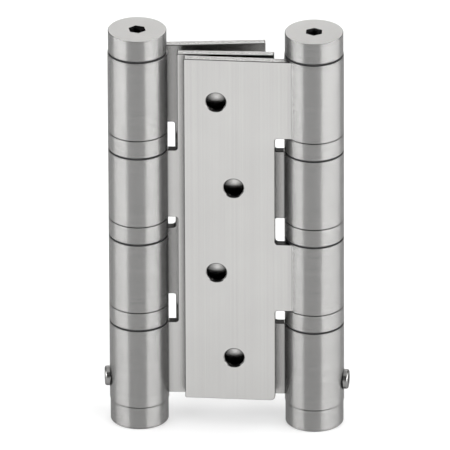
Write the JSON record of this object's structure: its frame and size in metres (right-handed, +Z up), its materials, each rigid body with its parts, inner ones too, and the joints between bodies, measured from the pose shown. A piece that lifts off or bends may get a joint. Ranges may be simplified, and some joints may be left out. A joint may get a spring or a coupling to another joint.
{
  "type": "double action cafe hinge",
  "caption": "Double action spring hinge: a middle leaf joins sprung barrels that each carry an outer leaf, so a cafe door swings both ways and closes itself.",
  "frame": {"origin": "midway between the barrels, on the plane of the bottom caps' lower faces", "axes": "+X towards the barrel that carries the front leaf, +Z up along the barrels, front leaf on the -Y side"},
  "size_m": [0.0806, 0.0202, 0.141],
  "materials": {
    "satin_leaf": "satin, fine upright brushing",
    "turned_ring": "satin, fine turning marks around the barrel",
    "turned_cap": "satin, turned",
    "plain_steel": "bright turned steel",
    "spring_wire": "oiled spring steel",
    "black_washer": "matt black nylon",
    "screw_steel": "bright steel"
  },
  "bodies": {
    "back_leaf_side": {"back_leaf": "satin_leaf", "left_spring_anchor": "plain_steel", "left_upper_bearing_ring": "turned_ring", "left_lower_bearing_ring": "turned_ring", "left_cap_washer": "black_washer", "left_middle_thrust_washer": "black_washer"},
    "middle_leaf_side": {"middle_leaf": "satin_leaf", "left_middle_bearing_ring": "turned_ring", "left_upper_thrust_washer": "black_washer", "left_lower_thrust_washer": "black_washer", "left_bottom_cap": "turned_cap", "left_locking_screw": "screw_steel", "right_middle_bearing_ring": "turned_ring", "right_upper_thrust_washer": "black_washer", "right_lower_thrust_washer": "black_washer", "right_bottom_cap": "turned_cap", "right_locking_screw": "screw_steel"},
    "front_leaf_side": {"front_leaf": "satin_leaf", "right_spring_anchor": "plain_steel", "right_upper_bearing_ring": "turned_ring", "right_lower_bearing_ring": "turned_ring", "right_cap_washer": "black_washer", "right_middle_thrust_washer": "black_washer"},
    "left_adjuster": {"left_top_cap": "turned_cap", "left_spindle": "plain_steel", "left_tension_collar": "plain_steel", "left_torsion_spring": "spring_wire"},
    "right_adjuster": {"right_top_cap": "turned_cap", "right_spindle": "plain_steel", "right_tension_collar": "plain_steel", "right_torsion_spring": "spring_wire"}
  },
  "joints": [
    {"name": "left_barrel_swing", "type": "hinge", "parent": "back_leaf_side", "child": "middle_leaf_side", "pos_m": [-0.02875, 0, 0.07], "axis": [0, 0, -1], "range_deg": [-7.5, 175.4], "stiffness_Nm_per_rad": 1, "deforming": ["left_torsion_spring"]},
    {"name": "right_barrel_swing", "type": "hinge", "parent": "middle_leaf_side", "child": "front_leaf_side", "pos_m": [0.02875, 0, 0.07], "axis": [0, 0, 1], "range_deg": [-0.8, 180], "stiffness_Nm_per_rad": 1, "deforming": ["right_torsion_spring"]},
    {"name": "left_tension_turn", "type": "hinge", "parent": "middle_leaf_side", "child": "left_adjuster", "pos_m": [-0.02875, 0, 0.07], "axis": [0, 0, 1], "range_deg": [0, 180]},
    {"name": "right_tension_turn", "type": "hinge", "parent": "middle_leaf_side", "child": "right_adjuster", "pos_m": [0.02875, 0, 0.07], "axis": [0, 0, 1], "range_deg": [0, 180]}
  ]
}
